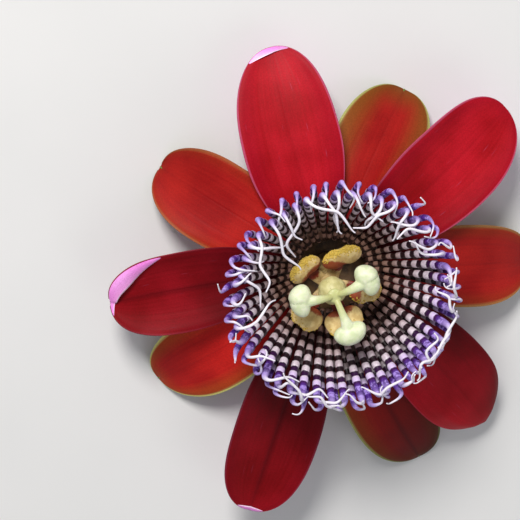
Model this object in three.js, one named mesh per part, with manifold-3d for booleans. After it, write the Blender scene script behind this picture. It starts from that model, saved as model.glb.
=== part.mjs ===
// A passion flower, picked with a short stub of its stalk and laid face up.
// Units are millimetres and +Z is up. The flower's own axis is +Z through the origin, and
// the tips of its five sepals stand on the plane z = 0.

import * as THREE from 'three';
import { mergeVertices } from 'three/addons/utils/BufferGeometryUtils.js';
import Module from 'manifold-3d';

const wasm = await Module();
wasm.setup();

// Driving dimensions

const SEAT_GAP = 0.35; // clear space between two pieces that sit on each other

const BLADE_THICKNESS = 1.0; // sepals and petals
const BLADE_COLUMNS = 6;
const BLADE_ROWS = [0, 0.09, 0.18, 0.29, 0.41, 0.54, 0.66, 0.77, 0.86, 0.93, 0.975, 1];
const BLADE_ROOT_RADIUS = 10.6;
const SEPAL_ROOT_SHARE = 0.62; // width at the root over the greatest width
const PETAL_ROOT_SHARE = 0.5;
const AWN = { along: [0.88, 0.94, 0.99], depth: 0.75, beyond: 1, endHeight: 0.35 };
const AWN_RADII = [0.3, 0.42, 0.36, 0.2];
const TIP_REST_DEPTH = 0.15; // how much of each sepal's tip is pressed flat by the surface

const CUP_RIM_RADIUS = 13;
const CUP_WALL = 1.2;
const CUP_RIM_HEIGHT = 17.2;
const CUP_FOOT_HEIGHT = 7.6;

const SEPAL_SEAT = CUP_RIM_HEIGHT + SEAT_GAP + BLADE_THICKNESS; // upper face at the root
const PETAL_SEAT = SEPAL_SEAT + SEAT_GAP + BLADE_THICKNESS;
const CORONA_SEAT = PETAL_SEAT + SEAT_GAP; // underside of the ring that carries the filaments

const CORONA_RING = { inner: 9.4, outer: 13.2, height: 1.6 };
const FILAMENTS_IN_A_ROW = 46;
const FILAMENT_SIDES = 3;
const FILAMENT_STEPS = { straight: 3, curly: 6 };
const FILAMENT_SLOPE = 46; // degrees above the horizontal at the foot
const RIM_SLOPE = 66; // degrees above the horizontal where the hook begins
const FLARE = { from: 15, to: 24 }; // distances along a filament between which it steepens
const FILAMENT_ROWS = [
  { footRadius: 10.2, footLift: 0.5, slope: 0, hookStart: 23.5, thickness: 2.4 },
  { footRadius: 12.1, footLift: 0.3, slope: -2, hookStart: 22.2, thickness: 2.2 },
];
const HOOK_LENGTH = 8; // stretch over which a filament bends over at the rim
const THREAD_LENGTH = 3.6; // thin wavy end past the hook
const LONG_THREAD_EXTRA = 4; // more of it where the threads fall furthest into the bowl
const WAVE_LENGTH = 5.2; // of the sideways waves at a filament's end

const COLUMN = { radius: 1.7, foot: 9.8, top: 30.6, lean: -1.5 };
const ARM = { shortBy: 0.9, rootHeight: 28.6, endHeight: 30.1, width: 3.4, thickness: 1.2 };
const ANTHER = { thickness: 2.5, height: 32.9, fullWidth: 7, sink: 0.3, tilt: 26 };
const OVARY = { radius: 3.5, foot: COLUMN.top + SEAT_GAP, top: 37.2 };
const STYLE = { hubRadius: 1.3, footWidth: 0.68, endWidth: 1.7, foot: OVARY.top + SEAT_GAP, arch: 1.1 };
const STIGMA = { across: 8.2, along: 5.6, thick: 5, height: 39.6 };

const PEDUNCLE = { radius: 1.8, foot: 0.4 };
const BRACT = { length: 17, width: 10, thickness: 0.9, foot: 4.2, tipHeight: 8.6 };

// Where each blade grows and how far it reaches. Azimuths are degrees from +X towards +Y.
// cup is the half angle of the blade's cross-section at root, middle and tip: above zero the
// edges stand up. widest is how far along the blade its greatest width comes.

const SEPALS = [
  { root: 75, tip: 64, reach: 47, width: 23, widest: 0.62, cup: [0, -12, 22], lift: 1 },
  { root: 3, tip: -4, reach: 54, width: 21.5, widest: 0.6, cup: [0, 8, 34], lift: 1 },
  { root: -69, tip: -64, reach: 63, width: 21.5, widest: 0.6, cup: [0, -10, 10], lift: 2 },
  { root: -141, tip: -141, reach: 53, width: 22, widest: 0.6, cup: [0, -8, 12], lift: 1 },
  { root: 147, tip: 151, reach: 47, width: 22, widest: 0.6, cup: [0, 10, 40], lift: 1 },
];

const PETALS = [
  { root: 109, tip: 105, reach: 57, width: 24.4, widest: 0.5, height: 9, cup: [0, 14, 16], lift: 1 },
  { root: 41, tip: 42, reach: 59.5, width: 23.8, widest: 0.58, height: 12, cup: [0, 24, 18], lift: 1 },
  { root: -38, tip: -46, reach: 63, width: 23, widest: 0.62, height: 6, cup: [0, 4, -26], lift: 3 },
  { root: -107.5, tip: -106, reach: 67.5, width: 22, widest: 0.58, height: 14, cup: [0, 16, 22], lift: 1 },
  { root: 182, tip: 189.5, reach: 55, width: 21.4, widest: 0.6, height: 12, cup: [0, 28, 46], lift: 1 },
];

const STAMENS = [
  { azimuth: 74, reach: 8.4, turn: 36, length: 10, width: 6.2 },
  { azimuth: -6, reach: 8.4, turn: -72, length: 8.2, width: 5.8 },
  { azimuth: -68, reach: 9.1, turn: 0, length: 9.6, width: 7.4 },
  { azimuth: -132, reach: 9.1, turn: 0, length: 9, width: 6.8 },
  { azimuth: 143, reach: 8.4, turn: -8, length: 8.8, width: 5.8 },
];
const STYLES = [
  { azimuth: 185, reach: 8.6 },
  { azimuth: 29, reach: 9 },
  { azimuth: -67, reach: 10.1 },
];
const BRACT_AZIMUTHS = [90, 210, 330];

// Small helpers

const radians = THREE.MathUtils.degToRad;
const UP = new THREE.Vector3(0, 0, 1);

function outward(azimuth) {
  return new THREE.Vector3(Math.cos(radians(azimuth)), Math.sin(radians(azimuth)), 0);
}

function sideways(azimuth) {
  return new THREE.Vector3(-Math.sin(radians(azimuth)), Math.cos(radians(azimuth)), 0);
}

// A steady pseudo-random number from 0 to 1 for a filament and a purpose.
function chance(index, purpose) {
  const value = Math.sin(index * 12.9898 + purpose * 78.233) * 43758.5453;
  return value - Math.floor(value);
}

// The value at s on the parabola through start (s = 0), middle (s = 0.5) and end (s = 1).
function through([start, middle, end], s) {
  return start * (1 - s) * (1 - 2 * s) + middle * 4 * s * (1 - s) + end * s * (2 * s - 1);
}

function smoothStep(from, to, value) {
  return THREE.MathUtils.smoothstep(value, from, to);
}

function solidOf(geometry) {
  geometry.deleteAttribute('normal');
  geometry.deleteAttribute('uv');
  const merged = mergeVertices(geometry, 1e-4);
  return new wasm.Manifold(new wasm.Mesh({
    numProp: 3,
    vertProperties: new Float32Array(merged.attributes.position.array),
    triVerts: new Uint32Array(merged.index.array),
  }));
}

function geometryOf(solid) {
  const { vertProperties, triVerts } = solid.getMesh();
  const geometry = new THREE.BufferGeometry();
  geometry.setAttribute('position', new THREE.BufferAttribute(new Float32Array(vertProperties), 3));
  geometry.setIndex(new THREE.BufferAttribute(new Uint32Array(triVerts), 1));
  return geometry;
}

function fused(geometries) {
  const solids = geometries.map(solidOf);
  return geometryOf(solids.reduce((whole, next) => whole.add(next)));
}

// A tube whose centre line and radius are given row by row, with both ends closed.
// flatten squeezes the section along its second direction.
function taperedTube(centres, radii, sides, side, flatten = 1) {
  const steps = centres.length - 1;
  const geometry = new THREE.CylinderGeometry(1, 1, 1, sides, steps);
  const frames = [];
  let across = side.clone();
  for (let i = 0; i <= steps; i += 1) {
    const ahead = centres[Math.min(i + 1, steps)].clone().sub(centres[Math.max(i - 1, 0)]).normalize();
    across = across.clone().addScaledVector(ahead, -across.dot(ahead)).normalize();
    frames.push({ across, over: ahead.clone().cross(across) });
  }
  const position = geometry.attributes.position;
  const point = new THREE.Vector3();
  for (let k = 0; k < position.count; k += 1) {
    point.fromBufferAttribute(position, k);
    const row = Math.round((point.y + 0.5) * steps);
    const { across: a, over: o } = frames[row];
    const moved = centres[row].clone()
      .addScaledVector(a, point.z * radii[row])
      .addScaledVector(o, point.x * radii[row] * flatten);
    position.setXYZ(k, moved.x, moved.y, moved.z);
  }
  return geometry;
}

// A thin closed sheet: surface(s, w) gives the upper point and its upward normal. Both faces
// are split into triangles the same way.
function sheet(rows, columns, thickness, surface) {
  const across = columns + 1;
  const points = [];
  for (const face of [0, 1]) {
    for (const s of rows) {
      for (let j = 0; j < across; j += 1) {
        const { point, normal } = surface(s, (2 * j) / columns - 1);
        points.push(point.clone().addScaledVector(normal, -thickness * face));
      }
    }
  }
  const under = rows.length * across;
  const faces = [];
  const quad = (a, b, c, d) => faces.push(a, b, c, a, c, d);
  for (let i = 0; i < rows.length - 1; i += 1) {
    for (let j = 0; j < columns; j += 1) {
      const a = i * across + j;
      const d = a + across;
      faces.push(a, d, a + 1, d, d + 1, a + 1);
      faces.push(under + a, under + a + 1, under + d, under + d, under + a + 1, under + d + 1);
    }
  }
  for (let i = 0; i < rows.length - 1; i += 1) {
    const left = i * across;
    const right = left + columns;
    quad(left, under + left, under + left + across, left + across);
    quad(right, right + across, under + right + across, under + right);
  }
  for (let j = 0; j < columns; j += 1) {
    const end = (rows.length - 1) * across + j;
    quad(j, j + 1, under + j + 1, under + j);
    quad(end, under + end, under + end + 1, end + 1);
  }
  const geometry = new THREE.BufferGeometry();
  geometry.setAttribute('position', new THREE.BufferAttribute(
    new Float32Array(points.flatMap((p) => p.toArray())), 3));
  geometry.setIndex(faces);
  return geometry;
}

// Sepals and petals

// Half the blade's width at s, as a share of the widest half.
function bladeOutline(s, rootShare, widest) {
  const grow = rootShare + (1 - rootShare) * Math.sin((Math.PI / 2) * Math.min(1, s / widest)) ** 1.1;
  const round = Math.max(0, (s - widest) / (1 - widest));
  return Math.max(0.07, grow * (1 - round ** 2.6) ** 0.5);
}

function bladeSurface(blade, seat, tipHeight, rootShare) {
  return (s, w) => {
    const azimuth = blade.root + (blade.tip - blade.root) * s;
    const forward = outward(azimuth);
    const along = BLADE_ROOT_RADIUS + (blade.reach - BLADE_ROOT_RADIUS) * s;
    const height = seat + (tipHeight - seat) * s ** 2 + blade.lift * 4 * s * s * (1 - s);
    const drop = 2 * (tipHeight - seat) * s + blade.lift * 4 * (2 * s - 3 * s * s);
    const incline = Math.atan2(drop, blade.reach - BLADE_ROOT_RADIUS);
    const over = UP.clone().multiplyScalar(Math.cos(incline)).addScaledVector(forward, -Math.sin(incline));
    const side = sideways(azimuth);
    const half = (blade.width / 2) * bladeOutline(s, rootShare, blade.widest);
    const bend = radians(through(blade.cup, s)) || 1e-6;
    const point = forward.clone().multiplyScalar(along).addScaledVector(UP, height)
      .addScaledVector(side, (half * Math.sin(w * bend)) / bend)
      .addScaledVector(over, (half * (1 - Math.cos(w * bend))) / bend);
    const faceUp = over.clone().multiplyScalar(Math.cos(w * bend))
      .addScaledVector(side, -Math.sin(w * bend));
    return { point, normal: faceUp };
  };
}

function bladeGeometry(blade, seat, tipHeight, rootShare) {
  return sheet(BLADE_ROWS, BLADE_COLUMNS, BLADE_THICKNESS, bladeSurface(blade, seat, tipHeight, rootShare));
}

// A sepal droops until its tip stands on z = 0, with its lowest edge pressed flat there.
function sepalGeometry(sepal) {
  const trial = bladeGeometry(sepal, SEPAL_SEAT, 0, SEPAL_ROOT_SHARE);
  trial.computeBoundingBox();
  let tipHeight = -trial.boundingBox.min.z - TIP_REST_DEPTH;
  let geometry = bladeGeometry(sepal, SEPAL_SEAT, tipHeight, SEPAL_ROOT_SHARE);
  geometry.computeBoundingBox();
  tipHeight -= geometry.boundingBox.min.z + TIP_REST_DEPTH;
  geometry = bladeGeometry(sepal, SEPAL_SEAT, tipHeight, SEPAL_ROOT_SHARE);
  return fused([pressedFlat(geometry), awnGeometry(sepal, tipHeight)]);
}

// Whatever would reach below the surface that the flower lies on is pressed flat against it.
function pressedFlat(geometry) {
  const position = geometry.attributes.position;
  for (let k = 0; k < position.count; k += 1) {
    position.setZ(k, Math.max(0, position.getZ(k)));
  }
  return geometry;
}

// The short point that a sepal bears on its back: it follows the underside past the tip.
function awnGeometry(sepal, tipHeight) {
  const surface = bladeSurface(sepal, SEPAL_SEAT, tipHeight, SEPAL_ROOT_SHARE);
  const centres = AWN.along.map((s) => {
    const { point, normal } = surface(s, 0);
    return point.addScaledVector(normal, -AWN.depth);
  });
  const end = outward(sepal.tip).multiplyScalar(sepal.reach + AWN.beyond);
  centres.push(end.addScaledVector(UP, AWN.endHeight));
  return pressedFlat(taperedTube(centres, AWN_RADII, 5, sideways(sepal.tip)));
}

function petalGeometry(petal) {
  return bladeGeometry(petal, PETAL_SEAT, petal.height, PETAL_ROOT_SHARE);
}

// Corona

// Filaments fall furthest into the bowl towards azimuth 130, where this is 1, and opposite,
// where it is 0, their ends lie along the rim.
function inwardShare(azimuth) {
  return 0.5 + 0.5 * Math.cos(radians(azimuth - 130));
}

// How far a filament hooks inwards at the rim, in degrees. A few all round turn out instead.
function hookTurn(azimuth, index, row) {
  const strays = chance(index, 3 + row) > 0.94;
  const scatter = chance(index, 5 + row) - 0.5;
  return strays ? 10 + 50 * scatter : 96 + 34 * inwardShare(azimuth) + 70 * scatter;
}

// How far a filament's end leans to one side, in degrees. Three neighbours lean together.
function hookLean(azimuth, index, row) {
  const inward = inwardShare(azimuth);
  const side = 2 * chance(index, 27 + row) - 1;
  const meeting = 14 * inward * (1 - (index % 3));
  return meeting + (30 + 60 * (1 - inward)) * Math.sign(side) * Math.sqrt(Math.abs(side));
}

// Length of the thin end past the hook. A filament that turns out has none, and one of the
// back row has a short one.
function threadLength(azimuth, index, row) {
  if (hookTurn(azimuth, index, row) < 45) {
    return 0;
  }
  const full = THREAD_LENGTH + LONG_THREAD_EXTRA * inwardShare(azimuth) ** 3;
  return full * 1.6 * smoothStep(0.15, 1, chance(index, 11 + row)) * (1 - 0.6 * row);
}

// The centre line of a filament from its foot to its end, in equal small steps.
function filamentLine(index, row) {
  const spec = FILAMENT_ROWS[row];
  const azimuth = ((index + 0.5 * row) * 360) / FILAMENTS_IN_A_ROW + 2.2 * (chance(index, 1 + row) - 0.5);
  const hookStart = spec.hookStart + 2 * (chance(index, 9 + row) - 0.5);
  const inward = inwardShare(azimuth);
  const turn = hookTurn(azimuth, index, row);
  const length = hookStart + HOOK_LENGTH + threadLength(azimuth, index, row);
  const lean = hookLean(azimuth, index, row);
  const sway = 20 + 50 * (1 - 0.6 * inward) * chance(index, 13 + row);
  const waveLength = WAVE_LENGTH * (1 + 0.8 * inward + chance(index, 17 + row));
  const phase = 2 * Math.PI * chance(index, 15 + row);
  const openSide = 0.5 + 0.5 * Math.cos(radians(azimuth + 50));
  const steepening = RIM_SLOPE - 7 * openSide - FILAMENT_SLOPE;
  const steps = 60;
  const step = length / steps;
  const points = [new THREE.Vector3(spec.footRadius, 0, CORONA_SEAT + spec.footLift)];
  for (let k = 1; k <= steps; k += 1) {
    const travelled = (k - 0.5) * step;
    const flare = steepening * smoothStep(FLARE.from, FLARE.to, travelled);
    const hooked = smoothStep(hookStart, hookStart + HOOK_LENGTH, travelled);
    const slope = radians(FILAMENT_SLOPE + spec.slope + flare + turn * hooked);
    const wave = Math.tanh(2 * Math.sin(phase + (2 * Math.PI * travelled) / waveLength));
    const heading = radians(lean * hooked + sway * wave * smoothStep(hookStart - 2, length, travelled));
    points.push(points[k - 1].clone().add(new THREE.Vector3(
      step * Math.cos(heading) * Math.cos(slope),
      step * Math.sin(heading),
      step * Math.cos(heading) * Math.sin(slope))));
  }
  points.forEach((point) => point.applyAxisAngle(UP, radians(azimuth)));
  return { points, azimuth, length, hookStart };
}

// Radius of a filament at a distance from its foot: it swells and then thins past the hook.
function filamentRadius(travelled, hookStart, thickness) {
  const swell = 0.52 + 0.48 * smoothStep(0, 17, travelled);
  const thin = 1 - 0.56 * smoothStep(hookStart, hookStart + 6, travelled);
  return (thickness / 2) * swell * thin;
}

function filamentGeometry(index, row) {
  const { points, azimuth, length, hookStart } = filamentLine(index, row);
  const { straight, curly } = FILAMENT_STEPS;
  const bend = (hookStart - 2) / length; // share of the filament that is nearly straight
  const centres = [];
  const radii = [];
  for (let i = 0; i <= straight + curly; i += 1) {
    const t = i < straight ? (bend * i) / straight : bend + ((1 - bend) * (i - straight)) / curly;
    centres.push(points[Math.round(t * (points.length - 1))]);
    radii.push(filamentRadius(t * length, hookStart, FILAMENT_ROWS[row].thickness));
  }
  return taperedTube(centres, radii, FILAMENT_SIDES, sideways(azimuth));
}

function coronaGeometry() {
  const { inner, outer, height } = CORONA_RING;
  const section = [
    [inner, CORONA_SEAT + 0.4],
    [inner + 0.5, CORONA_SEAT],
    [outer - 0.5, CORONA_SEAT],
    [outer, CORONA_SEAT + 0.5],
    [outer, CORONA_SEAT + height - 0.5],
    [outer - 1.2, CORONA_SEAT + height],
    [inner, CORONA_SEAT + height * 0.8],
    [inner, CORONA_SEAT + 0.4],
  ].map(([x, y]) => new THREE.Vector2(x, y));
  const ring = new THREE.LatheGeometry(section, 46);
  ring.rotateX(Math.PI / 2);
  const pieces = [ring];
  for (let row = 0; row < FILAMENT_ROWS.length; row += 1) {
    for (let index = 0; index < FILAMENTS_IN_A_ROW; index += 1) {
      pieces.push(filamentGeometry(index, row));
    }
  }
  return fused(pieces);
}

// Cup, stalk and bracts

// A solid turned about the flower's axis from an outline of [radius, height] points.
function turned(outline, segments) {
  const geometry = new THREE.LatheGeometry(outline.map(([x, y]) => new THREE.Vector2(x, y)), segments);
  geometry.rotateX(Math.PI / 2);
  return geometry;
}

function cupGeometry() {
  const rim = CUP_RIM_RADIUS;
  const foot = CUP_FOOT_HEIGHT;
  const top = CUP_RIM_HEIGHT;
  return turned([
    [0, foot],
    [3.2, foot],
    [7.4, foot + 1],
    [10.6, foot + 3.4],
    [12.6, foot + 6.6],
    [rim, top - 0.5],
    [rim - 0.4, top],
    [rim - CUP_WALL, top],
    [12.6 - CUP_WALL, foot + 6.8],
    [10.6 - CUP_WALL, foot + 4.1],
    [6.8, foot + 2.2],
    [0, foot + 1.6],
  ], 24);
}

function peduncleGeometry() {
  const { radius, foot } = PEDUNCLE;
  const top = CUP_FOOT_HEIGHT - SEAT_GAP;
  return turned([
    [0, foot],
    [radius * 0.94, foot],
    [radius, foot + 0.4],
    [radius, top - 1.2],
    [radius * 1.3, top],
    [0, top],
  ], 14);
}

function bractGeometry(azimuth) {
  const start = PEDUNCLE.radius + SEAT_GAP;
  const rows = [0, 0.12, 0.26, 0.42, 0.58, 0.74, 0.88, 0.97, 1];
  return sheet(rows, 4, BRACT.thickness, (s, w) => {
    const forward = outward(azimuth);
    const outline = (0.24 + 0.76 * Math.sin(Math.PI * s ** 0.8)) * (1 - s ** 5);
    const half = (BRACT.width / 2) * Math.max(0.06, outline);
    const height = BRACT.foot + (BRACT.tipHeight - BRACT.foot) * s ** 1.5;
    const point = forward.multiplyScalar(start + (BRACT.length - start) * s)
      .addScaledVector(sideways(azimuth), half * w)
      .addScaledVector(UP, height + 0.9 * w * w * Math.sin(Math.PI * s));
    return { point, normal: UP };
  });
}

// Centre: column with stamen arms, anthers, ovary and styles

function armGeometry({ azimuth, reach }) {
  const centres = [];
  const radii = [];
  const steps = 4;
  for (let i = 0; i <= steps; i += 1) {
    const t = i / steps;
    centres.push(outward(azimuth).multiplyScalar((reach - ARM.shortBy) * t)
      .addScaledVector(UP, ARM.rootHeight + (ARM.endHeight - ARM.rootHeight) * t ** 0.7)
      .add(new THREE.Vector3(COLUMN.lean, 0, 0)));
    radii.push((ARM.width / 2) * (1 - 0.3 * t * t));
  }
  return taperedTube(centres, radii, 6, sideways(azimuth), ARM.thickness / ARM.width);
}

function androgynophoreGeometry() {
  const { radius, foot, top, lean } = COLUMN;
  const column = turned([
    [0, foot],
    [radius * 1.5, foot],
    [radius * 1.1, foot + 1.6],
    [radius, foot + 8],
    [radius, top - 5],
    [radius * 1.5, top - 1.4],
    [radius * 1.4, top],
    [0, top],
  ], 14);
  const position = column.attributes.position;
  for (let k = 0; k < position.count; k += 1) {
    position.setX(k, position.getX(k) + (lean * (position.getZ(k) - foot)) / (top - foot));
  }
  return fused([column, ...STAMENS.map(armGeometry)]);
}

// An anther lies on the end of its arm, turned from lying square across it by its own
// angle, with its outer edge raised: a broad saddle of two lobes with a furrow between them
// on the outer face. A narrow one sinks closer to its arm.
function antherGeometry({ azimuth, reach, turn, length, width }) {
  const { thickness, fullWidth, sink, tilt } = ANTHER;
  const height = ANTHER.height - sink * (fullWidth - width);
  const geometry = new THREE.SphereGeometry(1, 12, 8);
  const position = geometry.attributes.position;
  const rise = radians(tilt);
  const centre = outward(azimuth).multiplyScalar(reach).addScaledVector(UP, height)
    .add(new THREE.Vector3(COLUMN.lean, 0, 0));
  const facing = outward(azimuth + turn);
  const outer = facing.clone().multiplyScalar(Math.cos(rise)).addScaledVector(UP, Math.sin(rise));
  const over = UP.clone().multiplyScalar(Math.cos(rise)).addScaledVector(facing, -Math.sin(rise));
  for (let k = 0; k < position.count; k += 1) {
    const along = position.getY(k);
    const above = position.getZ(k);
    const parting = Math.exp(-((along / 0.2) ** 2));
    const across = position.getX(k) * (1 - 0.16 * parting);
    const furrow = 1 - 0.4 * parting * (above > 0 ? 1 : 0);
    const point = centre.clone()
      .addScaledVector(sideways(azimuth + turn), (length / 2) * Math.sign(along) * Math.abs(along) ** 0.85)
      .addScaledVector(outer, (width / 2) * across - 0.8 * along * along)
      .addScaledVector(over, (thickness / 2) * above * furrow - 0.4 * along * along);
    position.setXYZ(k, point.x, point.y, point.z);
  }
  return geometry;
}

function ovaryGeometry() {
  const { radius, foot, top } = OVARY;
  const middle = foot + (top - foot) * 0.45;
  const outline = [[0, foot], [radius * 0.55, foot]];
  for (const angle of [-35, -10, 14, 38, 62]) {
    outline.push([radius * Math.cos(radians(angle)), middle + (top - middle) * Math.sin(radians(angle))]);
  }
  outline.push([radius * 0.2, top], [0, top]);
  const geometry = turned(outline, 16);
  geometry.translate(COLUMN.lean, 0, 0);
  return geometry;
}

// A style arches out from the hub on the ovary and swells into a broad two-lobed stigma.
function styleGeometries({ azimuth, reach }) {
  const hub = new THREE.Vector3(COLUMN.lean, 0, 0);
  const start = STYLE.foot + STYLE.footWidth;
  const centres = [];
  const radii = [];
  const steps = 7;
  for (let i = 0; i <= steps; i += 1) {
    const t = i / steps;
    centres.push(outward(azimuth).multiplyScalar(0.3 + (reach - 0.3) * t)
      .addScaledVector(UP, start + (STIGMA.height - start) * t + STYLE.arch * Math.sin(Math.PI * t))
      .add(hub));
    radii.push(STYLE.footWidth + (STYLE.endWidth - STYLE.footWidth) * t ** 3);
  }
  const stigma = new THREE.SphereGeometry(1, 11, 7);
  const position = stigma.attributes.position;
  const end = centres[steps];
  for (let k = 0; k < position.count; k += 1) {
    const along = position.getX(k);
    const across = position.getY(k);
    const over = position.getZ(k);
    const waist = 1 - 0.24 * Math.exp(-((across / 0.3) ** 2));
    const point = end.clone()
      .addScaledVector(sideways(azimuth), (STIGMA.across / 2) * across)
      .addScaledVector(outward(azimuth), (STIGMA.along / 2) * along * waist - 0.8 * across * across)
      .addScaledVector(UP, (STIGMA.thick / 2) * over * waist);
    position.setXYZ(k, point.x, point.y, point.z);
  }
  return [taperedTube(centres, radii, 8, sideways(azimuth)), stigma];
}

function stylesGeometry() {
  const hub = new THREE.SphereGeometry(1, 10, 6);
  hub.rotateX(Math.PI / 2);
  hub.scale(STYLE.hubRadius, STYLE.hubRadius, STYLE.footWidth);
  hub.translate(COLUMN.lean, 0, STYLE.foot + STYLE.footWidth);
  return fused([hub, ...STYLES.flatMap(styleGeometries)]);
}

// Assembly

const CRIMSON = { color: 0xa5141f, roughness: 0.5, metalness: 0 };
const SEPAL_RED = { color: 0x97262a, roughness: 0.55, metalness: 0 };
const GREEN = { color: 0x6d8f3c, roughness: 0.6, metalness: 0 };
const BANDED = { color: 0x5a3a63, roughness: 0.6, metalness: 0 };
const PALE_GREEN = { color: 0xd5dba0, roughness: 0.5, metalness: 0 };
const CREAM = { color: 0xe6e2b4, roughness: 0.45, metalness: 0 };
const POLLEN = { color: 0xcda652, roughness: 0.85, metalness: 0 };

function piece(name, geometry, finish) {
  const mesh = new THREE.Mesh(geometryOf(solidOf(geometry)), new THREE.MeshStandardMaterial(finish));
  mesh.name = name;
  return mesh;
}

const flower = new THREE.Group();

flower.add(piece('peduncle', peduncleGeometry(), GREEN));
flower.add(piece('calyx_cup', cupGeometry(), GREEN));
BRACT_AZIMUTHS.forEach((azimuth, i) => {
  flower.add(piece(`bract_${i + 1}`, bractGeometry(azimuth), GREEN));
});
SEPALS.forEach((sepal, i) => {
  flower.add(piece(`sepal_${i + 1}`, sepalGeometry(sepal), SEPAL_RED));
});
PETALS.forEach((petal, i) => {
  flower.add(piece(`petal_${i + 1}`, petalGeometry(petal), CRIMSON));
});
flower.add(piece('corona', coronaGeometry(), BANDED));
flower.add(piece('androgynophore', androgynophoreGeometry(), PALE_GREEN));
STAMENS.forEach((stamen, i) => {
  flower.add(piece(`anther_${i + 1}`, antherGeometry(stamen), POLLEN));
});
flower.add(piece('ovary', ovaryGeometry(), PALE_GREEN));
flower.add(piece('styles', stylesGeometry(), CREAM));

// The whole flower is centred over the origin and stands on z = 0.
const bounds = new THREE.Box3().setFromObject(flower);
const middle = bounds.getCenter(new THREE.Vector3());
flower.position.set(-middle.x, -middle.y, -bounds.min.z);

export default flower;
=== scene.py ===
"""A passion flower, picked with a short stub of its stalk and laid face up on a pale table."""

import math
import random

import bmesh
import bpy
import numpy as np
from mathutils import Matrix, Vector


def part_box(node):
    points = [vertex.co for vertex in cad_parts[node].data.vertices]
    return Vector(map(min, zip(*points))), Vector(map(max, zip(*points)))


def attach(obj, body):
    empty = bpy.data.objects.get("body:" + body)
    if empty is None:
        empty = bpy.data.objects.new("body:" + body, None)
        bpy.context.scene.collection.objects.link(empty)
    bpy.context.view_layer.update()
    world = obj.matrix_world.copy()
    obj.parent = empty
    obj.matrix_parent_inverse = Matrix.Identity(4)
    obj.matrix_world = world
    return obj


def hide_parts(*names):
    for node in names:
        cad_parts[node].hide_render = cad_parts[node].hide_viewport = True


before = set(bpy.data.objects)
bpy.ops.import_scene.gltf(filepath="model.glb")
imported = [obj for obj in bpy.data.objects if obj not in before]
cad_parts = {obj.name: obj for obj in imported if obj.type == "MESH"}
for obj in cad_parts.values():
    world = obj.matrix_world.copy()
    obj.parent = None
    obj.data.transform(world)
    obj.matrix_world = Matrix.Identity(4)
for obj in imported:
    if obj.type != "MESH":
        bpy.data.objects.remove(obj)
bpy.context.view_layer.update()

MM = 0.001
UP = np.array([0.0, 0.0, 1.0])
cup_low, cup_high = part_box("calyx_cup")
AXIS = np.array([(cup_low.x + cup_high.x) / 2, (cup_low.y + cup_high.y) / 2, 0.0])


def rows_with(columns, *rows):
    """One dictionary for each row, keyed by the columns' names. The last ones may be left out."""
    return [dict(zip(columns.split(), row)) for row in rows]


# Dimensions in millimetres, about the flower's own axis.

SEAT_GAP = 0.35
BLADE_ROOT_RADIUS = 10.6
BLADE_SOLID = 1.0
BLADE_THICKNESS = 0.9
BLADE_BEVEL = 1.6
BLADE_GRID = (28, 44)
FOLD_THICKNESS = 0.35
FOLD_STEPS = 40
SEPAL_ROOT_SHARE = 0.62
PETAL_ROOT_SHARE = 0.5
TIP_REST_DEPTH = 0.15
TIP_TRIM = 0.25
CUP_RIM_RADIUS = 13.0
CUP_WALL = 1.2
CUP_RIM_HEIGHT = 17.2
CUP_FOOT_HEIGHT = 7.6
SEPAL_SEAT = CUP_RIM_HEIGHT + SEAT_GAP + BLADE_SOLID
PETAL_SEAT = SEPAL_SEAT + SEAT_GAP + BLADE_SOLID
CORONA_SEAT = PETAL_SEAT + SEAT_GAP
MERGE_DISTANCE = 0.00001

FILAMENTS_IN_A_ROW = 46
FILAMENT_SLOPE = 46
RIM_SLOPE = 66
FLARE = (15, 24)
HOOK_LENGTH = 8
THREAD_LENGTH = 3.6
WAVE_LENGTH = 5.2
FILAMENT_STEP = 0.32
FILAMENT_SIDES = 10
DROOP_AZIMUTH = 130
OPEN_AZIMUTH = -50
BAND_PERIOD = 3.1
BAND_DARK_SHARE = 0.45
BAND_SHIFT = 1.6
WHITE_FROM = 26.6
DRAWS = {"place": 1, "stray": 3, "turn": 5, "hook": 9, "thread": 11, "sway": 13, "phase": 15, "wave": 17,
         "seed": 21, "lean": 27}
# The last column darkens a row's banded part: the back row's is painted shade, as the front row shades it.
FILAMENT_ROWS = rows_with(
    "side foot lift slope hook thickness last_band brightness",
    ("front", 10.2, 0.5, 0, 23.5, 1.95, 20.8, 1.0),
    ("back", 12.1, 0.3, -2, 22.2, 1.7, 19.4, 0.36),
)

COLUMN = {"radius": 1.7, "foot": 9.8, "top": 30.6, "lean": -1.5}
ARM = {"short_by": 0.9, "root": 28.6, "end": 30.1, "width": 3.8, "thickness": 1.3}
ANTHER = {"thickness": 2.6, "height": 32.9, "full_width": 7, "sink": 0.3, "tilt": 26}
POLLEN = {"grains": 230, "radius": (0.13, 0.24)}
LEAN = np.array([COLUMN["lean"], 0, 0])
OVARY = {"radius": 3.5, "foot": 30.95, "top": 37.2}
STYLE = {"foot": 37.55, "foot_width": 0.8, "hub": 1.9, "end_width": 2.0, "arch": 1.1}
STIGMA = {"across": 8.2, "along": 5.6, "thick": 5.0, "height": 39.6}
PEDUNCLE = {"radius": 1.8, "foot": 0.4}
BRACT = {"length": 17, "width": 10, "thickness": 0.9, "foot": 4.2, "tip": 8.6}
AWN = {"depth": 0.72, "radii": (0.2, 0.34, 0.42, 0.42, 0.38, 0.28, 0.12),
       "end": ((0.75, 0.36), (0.4, 0.28))}
FLESH_BUMP = 0.00015

# A blade's root and tip are azimuths, its reach is from the axis to its tip, and widest is a share of
# its length. cup is its bend across, in degrees, at root, middle and tip, and the four tone numbers give
# its tone there and then the tone's slant from one edge to the other: partly the blade's own depth of red
# and partly painted shade where it lies in shadow and painted light where it is lit. A fold starts and
# ends at shares of the length.

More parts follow.
